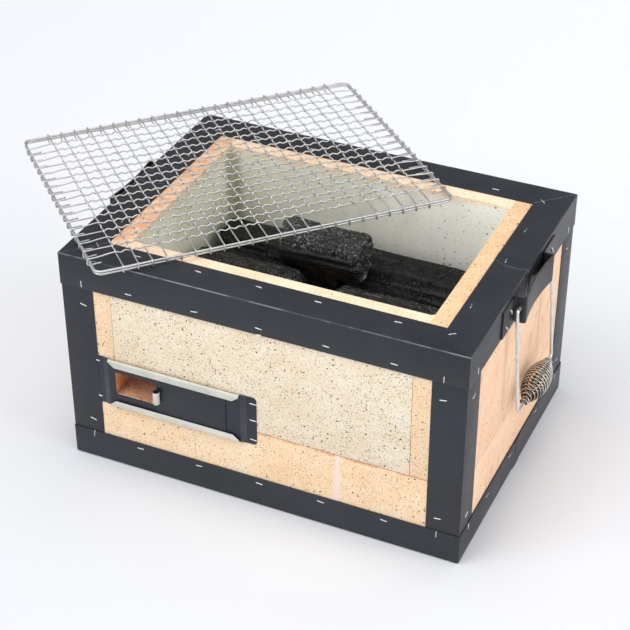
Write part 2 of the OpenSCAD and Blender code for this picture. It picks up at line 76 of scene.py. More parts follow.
class Tree:
    """A short way to write a node tree."""

    def __init__(self, name):
        self.mat = bpy.data.materials.new(name)
        self.mat.use_nodes = True
        self.t = self.mat.node_tree
        self.t.nodes.clear()
        self.out = self.t.nodes.new("ShaderNodeOutputMaterial")
        self.shader = self.t.nodes.new("ShaderNodeBsdfPrincipled")
        self.t.links.new(self.shader.outputs[0], self.out.inputs[0])
        self.coord = self.t.nodes.new("ShaderNodeTexCoord").outputs["Object"]

    def put(self, socket, value):
        if isinstance(value, bpy.types.NodeSocket):
            self.t.links.new(value, socket)
        elif value is not None:
            socket.default_value = value

    def node(self, kind, inputs=None, out=0, **props):
        n = self.t.nodes.new(kind)
        for k, v in props.items():
            setattr(n, k, v)
        for k, v in (inputs or {}).items():
            self.put(n.inputs[k], v)
        return n.outputs[out]

    def math(self, op, a, b=None):
        return self.node("ShaderNodeMath", {0: a, 1: b}, operation=op)

    def mul(self, a, b):
        return self.math("MULTIPLY", a, b)

    def add(self, a, b):
        return self.math("ADD", a, b)

    def sub(self, a, b):
        return self.math("SUBTRACT", a, b)

    def abs(self, a):
        return self.math("ABSOLUTE", a)

    def max(self, a, b):
        return self.math("MAXIMUM", a, b)

    def vector_math(self, op, a, b):
        return self.node("ShaderNodeVectorMath", {0: a, 1: b}, operation=op)

    def stretch(self, factors, offset=(0, 0, 0), co=None):
        inputs = {"Vector": co or self.coord, "Scale": factors, "Location": offset}
        return self.node("ShaderNodeMapping", inputs)

    def noise(self, scale, detail=3, rough=0.55, co=None, out=0):
        inputs = {"Vector": co or self.coord, "Scale": scale, "Detail": detail, "Roughness": rough}
        return self.node("ShaderNodeTexNoise", inputs, out)

    def range(self, v, a, b, c=0.0, d=1.0, smooth=True):
        n = self.t.nodes.new("ShaderNodeMapRange")
        n.interpolation_type = "SMOOTHSTEP" if smooth else "LINEAR"
        for i, x in enumerate((v, a, b, c, d)):
            self.put(n.inputs[i], x)
        return n.outputs[0]

    def mix(self, f, a, b):
        n = self.t.nodes.new("ShaderNodeMix")
        n.data_type = "RGBA"
        self.put(n.inputs[0], f)
        for i, v in ((6, a), (7, b)):
            self.put(n.inputs[i], (*v, 1.0) if isinstance(v, tuple) else v)
        return n.outputs[2]

    def axis(self, which, co=None):
        return self.node("ShaderNodeSeparateXYZ", {0: co or self.coord}, which)

    def specks(self, scale, size, keep=0.5, wobble=0.25, seed=0.0):
        """Round-ish spots of random size: 1 inside, 0 outside."""
        bend = self.noise(scale * 2.2, 2, out=1)
        co = self.vector_math("MULTIPLY", bend, (wobble / scale,) * 3)
        co = self.vector_math("ADD", self.vector_math("ADD", co, self.coord), (seed,) * 3)
        v = self.node("ShaderNodeTexVoronoi", {"Vector": co, "Scale": scale}).node
        pick = self.axis(0, v.outputs["Color"])
        reach = self.range(pick, 1 - keep, 1.0, 0.4 * size, size, smooth=False)
        spot = self.range(self.sub(reach, v.outputs["Distance"]), -0.03, 0.02)
        return self.mul(spot, self.math("GREATER_THAN", pick, 1 - keep))

    def bump(self, height, strength, distance, base=None):
        n = self.t.nodes.new("ShaderNodeBump")
        self.put(n.inputs["Height"], height)
        n.inputs["Strength"].default_value = strength
        n.inputs["Distance"].default_value = distance
        if base is not None:
            self.put(n.inputs["Normal"], base)
        return n.outputs[0]

    def finish(self, color, rough, normal=None, **constants):
        self.put(self.shader.inputs["Base Color"], color)
        self.put(self.shader.inputs["Roughness"], rough)
        self.put(self.shader.inputs["Normal"], normal)
        for k, v in constants.items():
            self.shader.inputs[k.replace("_", " ")].default_value = v
        return self.mat


def linear(c):
    return c / 12.92 if c <= 0.04045 else ((c + 0.055) / 1.055) ** 2.4


def srgb(r, g, b):
    """Display values 0-255 to the linear colour a shader wants."""
    return tuple(linear(c / 255) for c in (r, g, b))


def pale_edge_line(t, col):
    """A thin pale line along the folded top edges, broken up by noise: strong along the front and back,
    faint along the ends.
    """
    y = t.abs(t.add(t.abs(t.axis(1)), -(HALF_D - 0.25) * MM))
    x = t.abs(t.add(t.abs(t.axis(0)), -(HALF_W - 0.25) * MM))
    z = t.abs(t.add(t.axis(2), -(TOP - 0.3) * MM))
    along = t.range(t.add(y, z), 0.00080, 0.0004)
    side = t.range(t.add(x, z), 0.00080, 0.0004, 0.0, 0.25)
    edge_breakup = t.range(t.noise(30, 4, 0.65), 0.42, 0.60, 0.12, 0.75)
    return t.mix(t.mul(t.max(along, side), edge_breakup), col, srgb(150, 152, 156))


def black_paint(name, low=srgb(33, 36, 42), high=srgb(42, 45, 52), rough=0.42, extra=None):
    """Satin stove paint on thin sheet that is never quite flat, with dust and lint on it."""
    t = Tree(name)
    patch = t.noise(22, 4, 0.6)
    col = t.mix(t.range(patch, 0.3, 0.75), low, high)
    dust = t.noise(900, 2, 0.6)
    col = t.mix(t.range(dust, 0.64, 0.8, 0.0, 0.35), col, srgb(112, 113, 116))
    lint = t.specks(150, 0.06, 0.12, seed=2.1)
    col = t.mix(t.mul(lint, 0.5), col, srgb(150, 150, 150))
    if extra:
        col = extra(t, col)
    fine = t.noise(1500, 2)
    streak = t.noise(60, 3, co=t.stretch((1.0, 1.0, 14.0)))
    wave = t.noise(26, 1, 0.4)
    r = t.range(patch, 0.2, 0.8, rough - 0.05, rough + 0.07)
    r = t.add(r, t.range(streak, 0.3, 0.7, -0.03, 0.04))
    n = t.bump(wave, 0.5, 0.0011)
    n = t.bump(fine, 0.18, 0.00012, n)
    return t.finish(col, r, n, Specular_IOR_Level=0.43)


def stone(name, base, warm, pale, flecks, pitch, size, keep, crumb, bump, saw=0.0, extra=None):
    """Baked diatomite: a pale crumbly ground with many small dark flecks.

    flecks holds the tan, brown and dark colours; pitch is the spacing of the flecks in
    millimetres, size their largest radius in millimetres and keep the share that shows.
    crumb is how strong the fine grit is, bump the relief and saw the relief of the saw lines."""
    t = Tree(name)
    scale = 1000.0 / pitch
    broad = t.noise(13, 3, 0.6)
    mid = t.noise(75, 4, 0.65)
    fine = t.noise(620, 3, 0.7)
    col = t.mix(t.range(broad, 0.32, 0.68), base, warm)
    col = t.mix(t.range(mid, 0.40, 0.72, 0.0, 0.6), col, pale)
    crowd = t.range(t.noise(48, 4, 0.65), 0.38, 0.60, 0.5, 1.0)
    chalk = t.range(t.noise(430, 3, 0.6, co=t.stretch((1, 1, 1), (0.4, 0.2, 0.9))), 0.52, 0.66)
    col = t.mix(t.mul(chalk, 0.55), col, pale)
    grit = t.range(t.noise(1150, 2, 0.6), 0.555, 0.60)
    coarse = t.range(t.noise(640, 3, 0.7, co=t.stretch((1, 1, 1), (0.1, 0.6, 0.3))), 0.59, 0.625)
    for grains in (grit, coarse):
        col = t.mix(t.mul(t.mul(grains, crowd), crumb), col, flecks[0])
    tan = t.specks(scale * 1.3, size * 1.1 / pitch, keep, seed=3.3)
    dark = t.specks(scale, size / pitch, keep)
    few = t.specks(scale * 0.5, size * 0.78 / pitch, keep * 0.75, seed=7.7)
    col = t.mix(t.mul(t.mul(tan, crowd), 0.6), col, flecks[0])
    col = t.mix(t.mul(dark, t.range(crowd, 0.5, 1.0, 0.75, 0.95)), col, flecks[1])
    col = t.mix(t.mul(few, 0.9), col, flecks[2])
    if extra:
        col = extra(t, col)
    hollow = t.add(t.mul(dark, 0.5), few)
    height = t.add(t.mul(fine, 0.4), t.mul(mid, 0.5))
    height = t.sub(height, t.mul(t.add(hollow, t.mul(grit, 0.3)), 0.5))
    if saw:
        lines = t.noise(260, 3, 0.6, co=t.stretch((0.12, 0.12, 1.0)))
        height = t.add(height, t.mul(lines, saw))
    n = t.bump(height, bump, 0.0006)
    return t.finish(col, t.range(fine, 0.2, 0.8, 0.82, 0.96), n, Specular_IOR_Level=0.25)


def mortar_smear(t, col):
    """A pale pinkish smear of mortar over the right-hand base joint, on the front only."""
    middle = t.add((JOINT_R - 3.2) * MM, t.mul(t.noise(95, 4, 0.7), 0.0095))
    off = t.abs(t.sub(t.axis(0), middle))
    width = t.range(t.noise(140, 4, 0.75), 0.3, 0.7, 0.0002, 0.0038)
    inside = t.range(t.sub(width, off), -0.0010, 0.0006)
    front = t.range(t.axis(1), (1.0 - STONE_Y) * MM, (0.4 - STONE_Y) * MM)
    low = t.range(t.axis(2), (BASE_Z + 4.5) * MM, (BASE_Z + 1.0) * MM)
    return t.mix(t.mul(t.mul(inside, t.mul(front, low)), 0.9), col, srgb(252, 226, 214))


def pink_joint(t, col):
    """A broken reddish line where the base course meets the wall."""
    near = t.range(t.abs(t.sub(t.axis(2), (BASE_Z - 0.3) * MM)), 0.0021, 0.0004)
    along = t.range(t.axis(0), -0.012, 0.004)
    patchy = t.range(t.noise(95, 4, 0.7), 0.44, 0.58, 0.1, 1.0)
    return t.mix(t.mul(t.mul(near, along), t.mul(patchy, 0.72)), col, srgb(224, 148, 118))


def seams(t, col):
    return mortar_smear(t, pink_joint(t, col))


def streaked(t, col):
    """Pinkish sawn streaks and broken reddish veins that lean over the smooth side faces."""
    y = t.add(t.axis(1), t.mul(t.axis(2), -0.18))
    lean = t.node("ShaderNodeCombineXYZ", {0: t.axis(0), 1: y, 2: t.axis(2)})
    s = t.noise(7, 4, 0.6, co=t.stretch((1.0, 26.0, 3.0), co=lean))
    col = t.mix(t.range(s, 0.45, 0.72, 0.0, 0.40), col, srgb(238, 186, 156))
    v = t.noise(5, 2, 0.5, co=t.stretch((1.0, 12.0, 1.4), (0.2, 0.4, 0.1), co=lean))
    vein = t.range(t.abs(t.sub(v, 0.5)), 0.012, 0.003)
    broken = t.range(t.noise(40, 4, 0.7), 0.42, 0.6)
    col = t.mix(t.mul(t.mul(vein, broken), 0.5), col, srgb(196, 126, 92))
    b = t.noise(22, 3, 0.6, co=t.stretch((1.0, 1.0, 3.0), (0.3, 0.1, 0.7)))
    return t.mix(t.range(b, 0.5, 0.8, 0.0, 0.35), col, srgb(250, 226, 194))


def scorched(t, col):
    """Salmon patches baked into the rim."""
    patch = t.range(t.noise(48, 5, 0.75), 0.44, 0.60)
    col = t.mix(t.mul(patch, 0.7), col, srgb(230, 160, 120))
    return t.mix(t.range(t.noise(150, 4, 0.7), 0.52, 0.66, 0.0, 0.85), col, srgb(248, 222, 194))


CREAM = stone("cream_face", srgb(250, 235, 208), srgb(247, 227, 194), srgb(255, 248, 230),
              (srgb(186, 150, 110), srgb(104, 76, 52), srgb(56, 41, 30)),
              pitch=1.8, size=0.48, keep=0.85, crumb=0.5, bump=0.6, extra=seams)
PEACH = stone("peach_face", srgb(254, 226, 188), srgb(252, 217, 174), srgb(255, 238, 210),
              (srgb(206, 140, 92), srgb(128, 82, 55), srgb(60, 46, 37)),
              pitch=2.1, size=0.48, keep=0.78, crumb=0.55, bump=0.5, extra=seams)
RIM = stone("rim_face", srgb(250, 225, 194), srgb(247, 213, 176), srgb(252, 234, 212),
            (srgb(216, 156, 110), srgb(150, 98, 64), srgb(80, 56, 42)),
            pitch=2.9, size=0.50, keep=0.45, crumb=0.5, bump=0.4)
RIM_RIGHT = stone("rim_face_right", srgb(244, 206, 164), srgb(240, 190, 144), srgb(248, 218, 182),
                  (srgb(206, 140, 92), srgb(146, 94, 60), srgb(84, 58, 42)),
                  pitch=2.4, size=0.55, keep=0.6, crumb=0.7, bump=0.45)
SALMON = stone("scorched_rim", srgb(243, 204, 168), srgb(238, 190, 152), srgb(249, 222, 194),
               (srgb(212, 142, 102), srgb(170, 102, 72), srgb(116, 72, 52)),
               pitch=2.8, size=0.6, keep=0.5, crumb=0.6, bump=0.5, extra=scorched)
SIDE = stone("sawn_side", srgb(246, 211, 178), srgb(243, 200, 166), srgb(251, 222, 192),
             (srgb(226, 172, 134), srgb(184, 128, 96), srgb(128, 90, 68)),
             pitch=3.6, size=0.5, keep=0.32, crumb=0.3, bump=0.35, saw=0.5, extra=streaked)
DUCT = stone("duct_face", srgb(214, 166, 136), srgb(204, 148, 118), srgb(232, 194, 168),
             (srgb(176, 112, 84), srgb(130, 82, 60), srgb(84, 54, 42)),
             pitch=2.2, size=0.6, keep=0.7, crumb=0.8, bump=0.7)


def firebox_coat():
    """A thin grey-green wash inside the firebox that stops short of the rim, with painted shade: darker
    towards the left, in the far left corner and towards the bottom.
    """
    t = Tree("firebox_coat")
    x, y, z = t.axis(0), t.axis(1), t.axis(2)
    broad = t.noise(11, 4, 0.6)
    mid = t.noise(80, 4, 0.65)
    # painted shade: the wash gets darker and yellower towards the left, where less light falls across the
    # back wall
    left = t.range(t.add(x, t.mul(broad, 0.05)), 0.075, -0.045)
    col = t.mix(left, srgb(250, 248, 238), srgb(234, 233, 212))
    col = t.mix(t.range(mid, 0.42, 0.75, 0.0, 0.5), col, srgb(250, 249, 240))
    run = t.range(t.noise(9, 4, 0.6, co=t.stretch((2.4, 2.4, 0.5))), 0.5, 0.72)
    col = t.mix(t.mul(run, 0.4), col, srgb(208, 204, 174))

    # painted shade: the wash is darker and olive in the far left corner, where shade gathers
    sway = t.mul(t.sub(t.noise(30, 3), 0.5), 0.008)
    shade_by_side = t.range(t.add(x, sway), (14.5 - BOX_X) * MM, (3.0 - BOX_X) * MM)
    shade_by_back = t.range(t.add(y, sway), (BOX_Y - 13.5) * MM, (BOX_Y - 3.0) * MM)
    col = t.mix(t.mul(t.mul(shade_by_side, shade_by_back), 0.6), col, srgb(150, 146, 106))

    # bare stone shows in a band under the rim and in the mouth of the draught duct
    uneven = t.add(z, t.mul(t.sub(t.noise(38, 5, 0.75), 0.5), 0.024))
    band = t.range(uneven, (RIM_Z - 8.8) * MM, (RIM_Z + 1.2) * MM)
    worn = t.range(mid, 0.35, 0.62)
    col = t.mix(band, col, t.mix(worn, srgb(252, 232, 204), srgb(246, 214, 178)))
    in_wall = t.range(y, -(BOX_Y + 0.1) * MM, -(BOX_Y + 0.7) * MM)
    flue = t.mul(in_wall, t.range(z, (BASE_Z + 25) * MM, (BASE_Z + 24) * MM))
    col = t.mix(flue, col, t.mix(worn, srgb(228, 160, 116), srgb(214, 138, 96)))

    # painted shade: the wash darkens towards the bottom of the firebox
    low_shade = t.range(t.add(z, t.mul(t.noise(30, 3), 0.03)), 0.140, 0.090)
    low_shade = t.mul(low_shade, t.sub(1.0, flue))
    col = t.mix(t.mul(low_shade, 0.5), col, srgb(140, 138, 122))
    crowd = t.max(t.range(t.noise(26, 3, 0.6), 0.40, 0.62, 0.1, 1.0), t.range(x, 0.01, 0.09, 0.0, 0.9))
    pits = t.mul(t.specks(210, 0.22, 0.5), crowd)
    small = t.mul(t.specks(430, 0.26, 0.5, seed=5.1), crowd)
    col = t.mix(t.mul(pits, 0.8), col, srgb(98, 91, 74))
    col = t.mix(t.mul(small, 0.65), col, srgb(136, 126, 102))
    height = t.sub(t.mul(mid, 0.6), t.add(pits, t.mul(small, 0.5)))
    return t.finish(col, 0.93, t.bump(height, 0.6, 0.0007), Specular_IOR_Level=0.2)


COAT = firebox_coat()
PAINT = black_paint("black_paint", extra=pale_edge_line)
PAINT_DARK = black_paint("black_paint_strap", srgb(28, 29, 32), srgb(38, 39, 42), 0.40)
PAINT_VENT = black_paint("black_paint_vent", srgb(33, 36, 43), srgb(42, 45, 53), 0.44)
# painted light: a lighter, glossier black on the ramps of the vent plate, so that its steps look as if they
# catch the light
PAINT_LIT_RAMP = black_paint("black_paint_ramp_painted_light", srgb(46, 50, 58), srgb(66, 71, 80), 0.36)


def service_coat():
    """The cream wash on the reverse of pre-painted sheet."""
    t = Tree("reverse_coat")
    broad = t.noise(60, 4, 0.6)
    line = t.noise(120, 3, co=t.stretch((0.15, 1.0, 3.0)))
    col = t.mix(t.range(broad, 0.3, 0.7), srgb(203, 201, 189), srgb(218, 216, 205))
    col = t.mix(t.range(line, 0.5, 0.75, 0.0, 0.35), col, srgb(170, 169, 156))
    scuff = t.specks(300, 0.2, 0.12)
    col = t.mix(t.mul(scuff, 0.5), col, srgb(110, 108, 100))
    rough = t.range(broad, 0.2, 0.8, 0.36, 0.5)
    return t.finish(col, rough, t.bump(line, 0.15, 0.0003), Specular_IOR_Level=0.4)


REVERSE = service_coat()


def bright_metal(name, low, high, rough, scratch=0.12, metal=1.0):
    """Drawn wire or cut steel between two shades, with fine scratches."""
    t = Tree(name)
    patch = t.noise(240, 3, 0.6)
    fine = t.noise(1800, 2, 0.6)
    col = t.mix(t.range(patch, 0.3, 0.7), low, high)
    col = t.mix(t.range(fine, 0.62, 0.8, 0.0, 0.3), col, tuple(c * 0.55 for c in low))
    r = t.range(patch, 0.25, 0.75, rough - 0.05, rough + 0.08)
    return t.finish(col, r, t.bump(fine, scratch, 0.00008), Metallic=metal)


WIRE = bright_metal("galvanised_wire", srgb(200, 200, 199), srgb(220, 220, 218), 0.32, metal=0.92)
BAIL = bright_metal("bail_wire", srgb(214, 213, 210), srgb(232, 231, 228), 0.30, scratch=0.06, metal=0.85)
SPRING = bright_metal("spring_wire", srgb(176, 170, 160), srgb(206, 200, 190), 0.14, scratch=0.05)
# painted shade and reflection: a dark brown metal for the coil faces that turn inwards, standing in for the
# shade between the turns and the peach wall seen in them
SPRING_SHADE = bright_metal("spring_painted_shade", srgb(52, 42, 33), srgb(92, 72, 52), 0.30, scratch=0.05)
STAPLE = bright_metal("staple_wire", srgb(206, 207, 208), srgb(230, 230, 228), 0.34)
STRAP_EDGE = bright_metal("strap_edge", srgb(96, 93, 86), srgb(140, 137, 130), 0.45)
EDGE = bright_metal("cut_edge", srgb(150, 152, 154), srgb(186, 187, 188), 0.38)


def rack_steel():
    """Bare steel that the fire has stained brown."""
    t = Tree("heat_stained_steel")
    patch = t.noise(90, 4, 0.65)
    col = t.mix(t.range(patch, 0.35, 0.65), srgb(96, 92, 88), srgb(120, 96, 76))
    scale = t.bump(t.noise(900, 3), 0.3, 0.0002)
    return t.finish(col, t.range(patch, 0.3, 0.7, 0.45, 0.7), scale, Metallic=0.8)


RACK = rack_steel()


def charcoal(name, seed, sparkle=0.6, stripes=0.6, lit_above=0.0, gloss=0.3):
    """Carbonised wood: black, striated along the log, with bright broken cells that are pale ash in part and
    a painted sheen in part.

    With lit_above, the bright cells keep to the upper face above that height, as painted light where the
    lamps fall, and to the end."""
    t = Tree(name)
    shift = (seed, seed * 0.7, 0)
    grain = t.noise(60, 5, 0.7, co=t.stretch((0.18, 1.6, 1.6), shift))
    line = t.noise(330, 3, 0.65, co=t.stretch((0.07, 1.0, 1.0), shift))
    cells = t.noise(760, 3, 0.7, co=t.stretch((0.9, 1.0, 0.7), shift))
    patch = t.noise(42, 4, 0.65, co=t.stretch((0.7, 1, 1), shift))
    ring = t.noise(150, 4, 0.7, co=t.stretch((0.5, 1, 1), shift))
    col = t.mix(t.range(grain, 0.35, 0.7), srgb(10, 10, 10), srgb(25, 25, 25))
    col = t.mix(t.mul(t.range(line, 0.5, 0.68), stripes), col, srgb(70, 69, 68))
    cluster = t.mul(t.range(patch, 0.36, 0.60, 0.25, 1.0), t.range(ring, 0.36, 0.58, 0.35, 1.0))
    # painted sheen: the bright cells stand in part for pale ash and in part for light caught on the pores
    lit = t.mul(t.range(cells, 0.50, 0.64), cluster)
    # painted light: with lit_above the cells stay on the lit upper face
    if lit_above:
        level = t.add(t.axis(2), t.mul(t.sub(t.noise(60, 2), 0.5), 0.006))
        upper = t.range(level, lit_above - 0.0008, lit_above + 0.0006, 0.12, 1.0)
        broken_end = t.range(t.axis(0), 0.0175, 0.0205)
        lit = t.mul(lit, t.max(broken_end, upper))
    col = t.mix(t.mul(lit, sparkle), col, srgb(164, 163, 160))
    split = t.noise(34, 3, 0.6, co=t.stretch((1.6, 0.8, 0.8), shift))
    crack = t.range(t.abs(t.sub(split, 0.5)), 0.012, 0.003)
    col = t.mix(t.mul(crack, 0.8), col, srgb(8, 8, 8))
    n = t.bump(grain, 0.8, 0.0015)
    n = t.bump(line, 0.6, 0.0006, n)
    n = t.bump(cells, 0.9, 0.0007, n)
    n = t.bump(t.sub(1.0, crack), 0.8, 0.0008, n)
    return t.finish(col, t.range(patch, 0.3, 0.7, 0.44, 0.74), n, Specular_IOR_Level=gloss)


# ---------------------------------------------------------------- mesh tools

def finish_mesh(name, bm, body, mats, smooth_deg=None, replaces=()):
    """Turn a bmesh into a piece that rides on a body and stands for CAD nodes."""
    me = bpy.data.meshes.new(name)
    bm.normal_update()
    bm.to_mesh(me)
    bm.free()
    for m in mats:
        me.materials.append(m)
    ob = bpy.data.objects.new(name, me)
    bpy.context.scene.collection.objects.link(ob)
    if smooth_deg is not None:
        me.shade_smooth()
        if smooth_deg < 180:
            me.set_sharp_from_angle(angle=math.radians(smooth_deg))
    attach(ob, body)
    if replaces:
        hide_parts(*replaces)
    return ob


def copy_node(node):
    """The CAD node's mesh as a clean bmesh with flat faces joined."""
    bm = bmesh.new()
    bm.from_mesh(NODES[node].data)
    bmesh.ops.remove_doubles(bm, verts=bm.verts, dist=2e-6)
    bmesh.ops.dissolve_limit(bm, angle_limit=math.radians(0.5), verts=bm.verts, edges=bm.edges)
    for f in bm.faces:
        f.material_index = 0
    return bm


def bevel_sharp(bm, width, segments=2, angle=25, pick=None):
    """Round the edges that are sharper than the angle, or those of them that pick accepts."""
    edges = []
    for e in bm.edges:
        if len(e.link_faces) == 2 and e.calc_face_angle(0) > math.radians(angle):
            if pick is None or pick(e):
                edges.append(e)
    if edges:
        bmesh.ops.bevel(bm, geom=edges, offset=width * MM, offset_type="OFFSET", segments=segments,
                        profile=0.5, affect="EDGES", clamp_overlap=True, material=-1)


def tube(bm, pts, radius, sides, closed=False):
    """A round wire along the points, with flat ends unless it is closed."""
    n = len(pts)
    pts = [Vector(p) for p in pts]
    tangents = []
    for i in range(n):
        a = pts[(i - 1) % n] if closed or i else pts[0]
        b = pts[(i + 1) % n] if closed or i < n - 1 else pts[-1]
        tangents.append((b - a).normalized())
    ref = Vector((0, 0, 1)) if abs(tangents[0].z) < 0.9 else Vector((1, 0, 0))
    u = tangents[0].cross(ref).normalized()
    round_it = [(math.cos(2 * math.pi * k / sides), math.sin(2 * math.pi * k / sides)) for k in range(sides)]
    rings = []
    for p, along in zip(pts, tangents):
        u = (u - along * u.dot(along)).normalized()
        v = along.cross(u)
        rings.append([bm.verts.new(p + (u * c + v * s) * radius) for c, s in round_it])
    for i in range(n if closed else n - 1):
        join_rings(bm, rings[i], rings[(i + 1) % n])
    if not closed:
        bm.faces.new(list(reversed(rings[0])))
        bm.faces.new(rings[-1])


def join_rings(bm, a, b):
    """A band of four-sided faces between two rings of as many vertices."""
    n = len(a)
    for k in range(n):
        bm.faces.new((a[k], a[(k + 1) % n], b[(k + 1) % n], b[k]))


def smooth_path(points, radius, steps=6):
    """A polyline with its corners rounded."""
    pts = [Vector(p) for p in points]
    out = [pts[0]]
    for i in range(1, len(pts) - 1):
        a, b, c = pts[i - 1], pts[i], pts[i + 1]
        r = min(radius, (b - a).length / 2, (c - b).length / 2)
        p, q = b + (a - b).normalized() * r, b + (c - b).normalized() * r
        for k in range(steps + 1):
            f = k / steps
            out.append(p * (1 - f) ** 2 + b * 2 * f * (1 - f) + q * f ** 2)
    out.append(pts[-1])
    return out


# ---------------------------------------------------------------- stone blocks

def apart_from_joints(e):
    """Leaves out the edges at the rim's inner corners and at the joints of the base course."""
    mid = (e.verts[0].co + e.verts[1].co) / (2 * MM)
    if mid.z > RIM_Z - 1 and abs(abs(mid.x) - BOX_X) < 0.8 and abs(mid.y) > BOX_Y:
        return False
    return mid.z >= BASE_Z + 0.5 or min(abs(mid.x - JOINT_L), abs(mid.x - JOINT_R)) >= 0.8


def stone_block(node, materials, choose):
    """A slab or block with worn edges; choose says which material a face gets."""
    bm = copy_node(node)
    for f in bm.faces:
        f.material_index = choose(f.normal, f.calc_center_median() / MM)
    bevel_sharp(bm, 0.32, pick=apart_from_joints)
    return finish_mesh(node + "_stone", bm, "grill", materials, 30, (node,))


def wall_faces(n, c):
    """0 outer face, 1 top and ends, 2 inside the firebox, 3 duct."""
    if abs(c[0]) < BOX_X + 0.6 and abs(c[1]) < BOX_Y + 0.6 and (abs(n.x) > 0.9 or abs(n.y) > 0.9):
        return 2
    if abs(n.z) > 0.9 or abs(c[0]) < STONE_X - 1 and abs(n.x) > 0.9:
        return 1
    return 0


def front_faces(n, c):
    """As wall_faces, with the cut-out for the draught duct."""
    if n.z < -0.9 and c[2] > BASE_Z + 2 or n.x < -0.9 and c[0] > -BOX_X + 2:
        return 3
    return wall_faces(n, c)


def side_faces(n, c):
    """0 outer face, 1 rim, 2 inside the firebox, 3 the ends that show on the front and back."""
    if abs(n.y) > 0.9:
        return 3
    if abs(n.z) > 0.9:
        return 1
    return 2 if n.x * c[0] < 0 else 0


stone_block("front_slab", [CREAM, RIM, COAT, DUCT], front_faces)
stone_block("back_slab", [CREAM, RIM, COAT, DUCT], wall_faces)
stone_block("left_slab", [SIDE, SALMON, COAT, PEACH], side_faces)
stone_block("right_slab", [SIDE, RIM_RIGHT, COAT, PEACH], side_faces)


def base_faces(n, c):
    """0 ends of the course, 1 front, back, joints and underside, 2 top."""
    if n.z > 0.9 and c[2] > BASE_Z - 2:
        return 2
    return 0 if abs(n.x) > 0.9 and abs(c[0]) > STONE_X - 1 else 1


for name in ("base_block_left", "base_block_middle", "base_block_right"):
    stone_block(name, [SIDE, PEACH, DUCT], base_faces)


def add_box(bm, lo, hi):
    """A box between two corners in millimetres."""
    lo, hi = Vector(lo) * MM, Vector(hi) * MM
    bmesh.ops.create_cube(bm, size=1.0, matrix=Matrix.LocRotScale((lo + hi) / 2, None, hi - lo))


bm = bmesh.new()
add_box(bm, (JOINT_R, -HALF_D + 1.3, FOOT - 4), (JOINT_R + 0.3, -HALF_D + 6, BASE_Z - 0.1))
finish_mesh("base_joint_mortar", bm, "grill", [PEACH], None, ())

CORNERS = [(sx, sy) for sx in (-1, 1) for sy in (-1, 1)]

bm = bmesh.new()
for sx, sy in CORNERS:
    ends = sorted((sy * (BOX_Y - 0.1), sy * (BOX_Y + 13)))
    sides = sorted((sx * (BOX_X - 0.4), sx * (BOX_X + 0.1)))
    add_box(bm, (sides[0], ends[0], RIM_Z - 12), (sides[1], ends[1], RIM_Z - 0.03))
finish_mesh("rim_joint_mortar", bm, "grill", [RIM], None, ())


def corner_fillet(bm, sx, sy, radius, z0, z1):
    """The wash rounds the corner between two walls of the firebox."""
    cx, cy = sx * BOX_X, sy * BOX_Y
    outline = [(cx + sx * 0.2, cy + sy * 0.2), (cx + sx * 0.2, cy - sy * radius)]
    for k in range(9):
        a = math.pi / 2 * k / 8
        inset = radius * (1 - math.cos(a)), radius * (1 - math.sin(a))
        outline.append((cx - sx * inset[0], cy - sy * inset[1]))
    outline.append((cx - sx * radius, cy + sy * 0.2))
    rings = [[bm.verts.new((x * MM, y * MM, z * MM)) for x, y in outline] for z in (z0, z1 - 0.6, z1)]
    for v in rings[2]:
        v.co.x += sx * 0.25 * MM
        v.co.y += sy * 0.25 * MM
    for a, b in zip(rings, rings[1:]):
        join_rings(bm, a, b)
    top = bm.faces.new(rings[2])
    top.material_index = 1
    bm.faces.new(list(reversed(rings[0])))


bm = bmesh.new()
for sx, sy in CORNERS:
    corner_fillet(bm, sx, sy, 3.6, BASE_Z + 0.1, RIM_Z - 0.05)
bmesh.ops.recalc_face_normals(bm, faces=bm.faces)
finish_mesh("firebox_corner_wash", bm, "grill", [COAT, RIM], 40, ())

# a crumb of stone stuck at the edge of the front window
CRUMB_AT = Vector((2.8, -HALF_D - 0.1, 151.9))
CRUMB_SIZE = Vector((2.3, 1.1, 1.2))
bm = bmesh.new()
bmesh.ops.create_icosphere(bm, subdivisions=4, radius=1.0)
for v in bm.verts:
    bulge = 0.75 + 0.5 * noise.noise(v.co * 1.7) + 0.18 * noise.noise(v.co * 5)
    v.co = (CRUMB_AT + Vector([a * b for a, b in zip(v.co, CRUMB_SIZE)]) * bulge) * MM
finish_mesh("stone_crumb", bm, "grill", [CREAM], 180, ())


# ---------------------------------------------------------------- steel binding

def on_outline(e):
    """Edges along the outside of the box, where the strip is bent over."""
    mid = (e.verts[0].co + e.verts[1].co) / (2 * MM)
    on_side = abs(abs(mid.x) - HALF_W) < 0.2
    on_front = abs(abs(mid.y) - HALF_D) < 0.2
    on_flange = abs(mid.z - TOP) < 0.2 or abs(mid.z) < 0.05
    return on_side + on_front + on_flange >= 2


def lap_line(x):
    """How far the front edge of the upper layer wanders across the top flange, in millimetres."""
    f = (abs(x) - (HALF_W - STRIP + 2)) / (STRIP - 2.4)
    return 2.3 * (1 - f) ** 2 - 8.4 * f * (1 - f) if f > 0 else 2.3


def cut_face(f):
    """Sheared edges that show bare steel: the mitres and the free edge of the lap."""
    n = f.normal
    c = f.calc_center_median() / MM
    if abs(c[0]) <= HALF_W - STRIP - 1:
        return False
    mitre = abs(abs(n.x) - 0.707) < 0.06 and abs(abs(n.y) - 0.707) < 0.06
    return mitre or (n.y < -0.5 and -5 < c[1] < 4)


